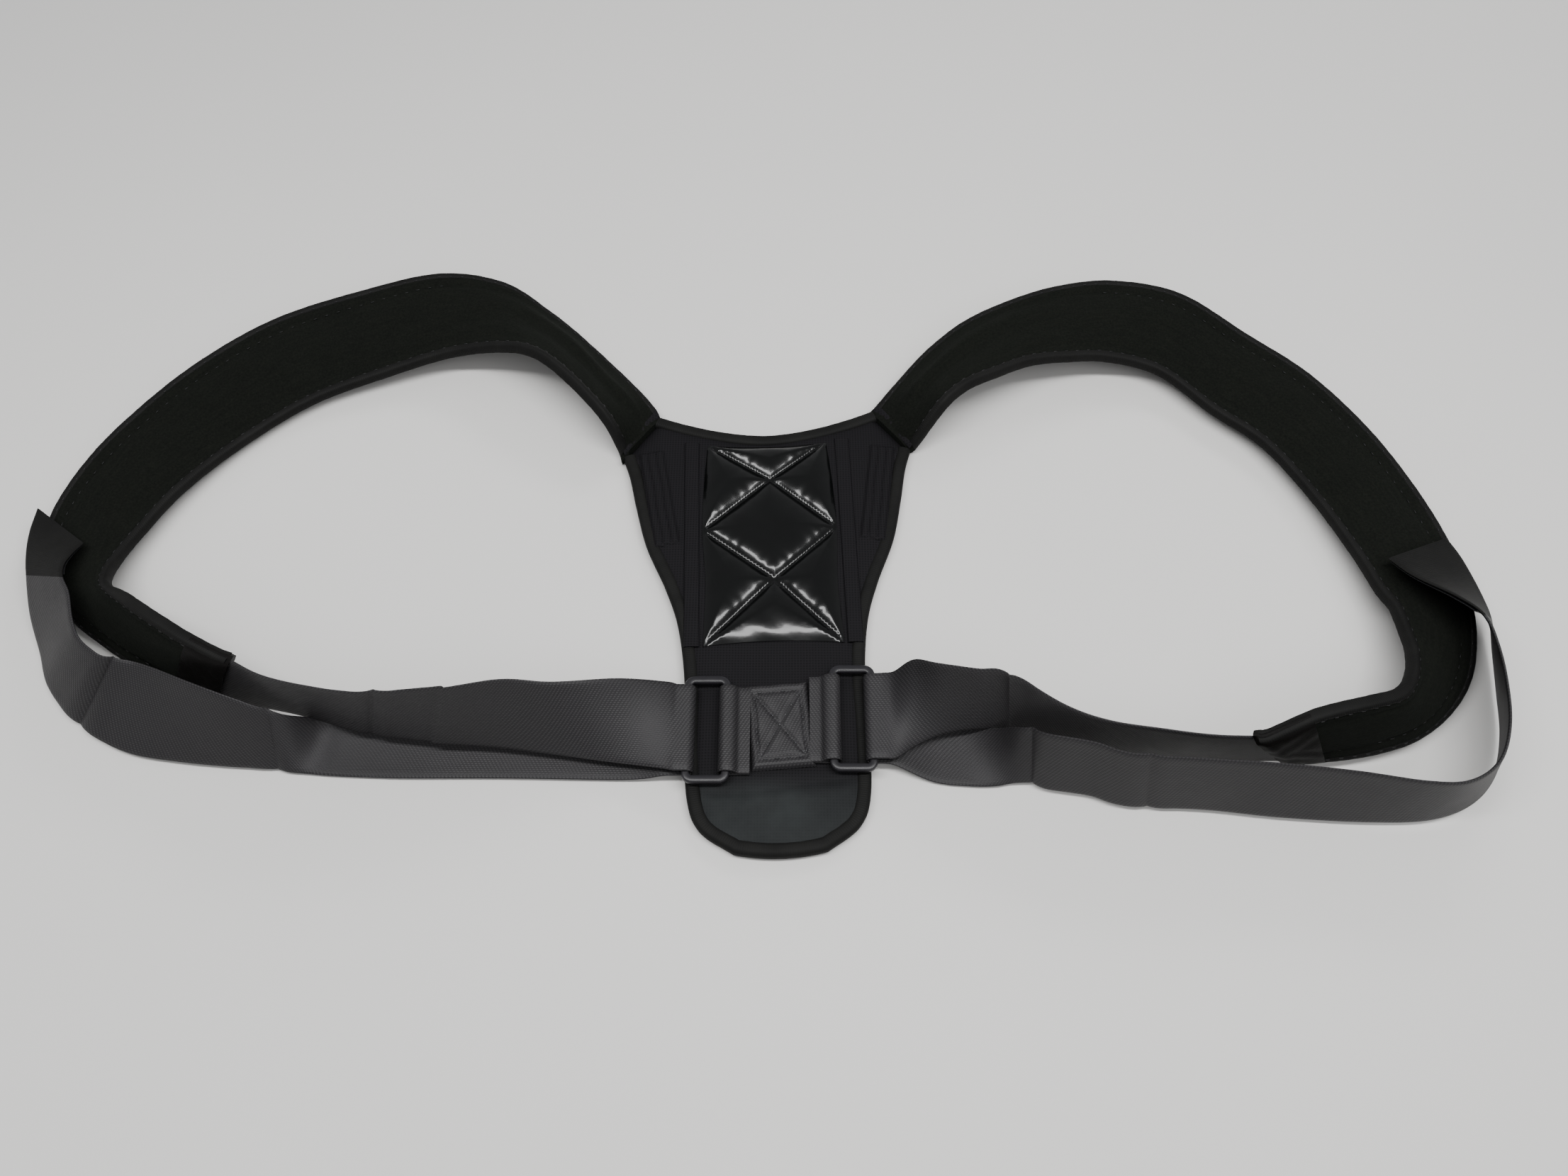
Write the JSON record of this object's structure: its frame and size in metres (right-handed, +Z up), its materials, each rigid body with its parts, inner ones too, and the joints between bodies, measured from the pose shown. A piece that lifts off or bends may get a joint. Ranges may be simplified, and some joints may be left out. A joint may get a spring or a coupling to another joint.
{
  "type": "back brace",
  "caption": "Posture-correcting back brace: back panel with a quilted insert, padded shoulder loops that close with webbing through rings and hook tails.",
  "frame": {"origin": "on the underside of the back panel's lining, near the middle of the panel, on the surface the brace lies on", "axes": "+X to the right across both shoulder loops, +Y from the rounded tab towards the neckline, +Z up out of the outer face"},
  "size_m": [0.7593, 0.352, 0.0543],
  "materials": {
    "pad_fabric": "matt brushed loop fabric",
    "panel_fabric": "matt woven nylon",
    "foam": "open-cell foam",
    "lining_mesh": "spacer mesh",
    "binding_tape": "folded tape",
    "patent_vinyl": "glossy patent",
    "webbing": "woven polypropylene",
    "hook_patch": "moulded hooks",
    "ring_plastic": "satin moulded",
    "stay_aluminium": "brushed"
  },
  "bodies": {
    "back_panel": {"anchor_base": "webbing", "anchor_patch": "webbing", "insert_skin": "patent_vinyl", "insert_wadding": "foam", "left_anchor_loop": "webbing", "left_insert_band": "panel_fabric", "left_shoulder_seam": "panel_fabric", "left_stay": "stay_aluminium", "left_stay_sleeve": "panel_fabric", "neck_binding": "binding_tape", "panel_binding": "binding_tape", "panel_cover": "panel_fabric", "panel_foam": "foam", "panel_lining": "lining_mesh", "right_anchor_loop": "webbing", "right_insert_band": "panel_fabric", "right_shoulder_seam": "panel_fabric", "right_stay": "stay_aluminium", "right_stay_sleeve": "panel_fabric"},
    "left_wing": {"left_lower_strap": "webbing", "left_pad_cover": "pad_fabric", "left_pad_foam": "foam", "left_pad_inner_binding": "binding_tape", "left_pad_lining": "lining_mesh", "left_pad_outer_binding": "binding_tape", "left_tip_binding": "binding_tape", "left_upper_strap": "webbing"},
    "left_buckle": {"left_ring": "ring_plastic", "left_strap_wrap": "webbing"},
    "left_tail_end": {"left_hook_patch": "hook_patch", "left_tail": "webbing"},
    "right_wing": {"right_lower_strap": "webbing", "right_pad_cover": "pad_fabric", "right_pad_foam": "foam", "right_pad_inner_binding": "binding_tape", "right_pad_lining": "lining_mesh", "right_pad_outer_binding": "binding_tape", "right_tip_binding": "binding_tape", "right_upper_strap": "webbing"},
    "right_buckle": {"right_ring": "ring_plastic", "right_strap_wrap": "webbing"},
    "right_tail_end": {"right_hook_patch": "hook_patch", "right_tail": "webbing"}
  },
  "joints": [
    {"name": "left_wing_fold", "type": "hinge", "parent": "back_panel", "child": "left_wing", "pos_m": [-0.04675, 0.04425, 0.0075], "axis": [-0.3233, 0.9456, -0.0363], "range_deg": [0, 70], "deforming": ["left_anchor_loop", "left_shoulder_seam"]},
    {"name": "right_wing_fold", "type": "hinge", "parent": "back_panel", "child": "right_wing", "pos_m": [0.05125, 0.04925, 0.0075], "axis": [-0.2359, -0.9711, 0.0368], "range_deg": [0, 70], "deforming": ["right_anchor_loop", "right_shoulder_seam"]},
    {"name": "left_ring_tilt", "type": "hinge", "parent": "left_wing", "child": "left_buckle", "pos_m": [-0.02, -0.06, 0.0105], "axis": [0, 1, 0], "range_deg": [0, 15], "deforming": ["left_strap_wrap"]},
    {"name": "right_ring_tilt", "type": "hinge", "parent": "right_wing", "child": "right_buckle", "pos_m": [0.032, -0.054, 0.0105], "axis": [0, -1, 0], "range_deg": [0, 15], "deforming": ["right_strap_wrap"]},
    {"name": "left_tail_peel", "type": "hinge", "parent": "left_wing", "child": "left_tail_end", "pos_m": [-0.36757, 0.0181, 0.0246], "axis": [0.7941, -0.328, 0.5117], "range_deg": [0, 55]},
    {"name": "right_tail_peel", "type": "hinge", "parent": "right_wing", "child": "right_tail_end", "pos_m": [0.3585, -0.00515, 0.02404], "axis": [0.5549, 0.3459, -0.7566], "range_deg": [0, 55]}
  ]
}
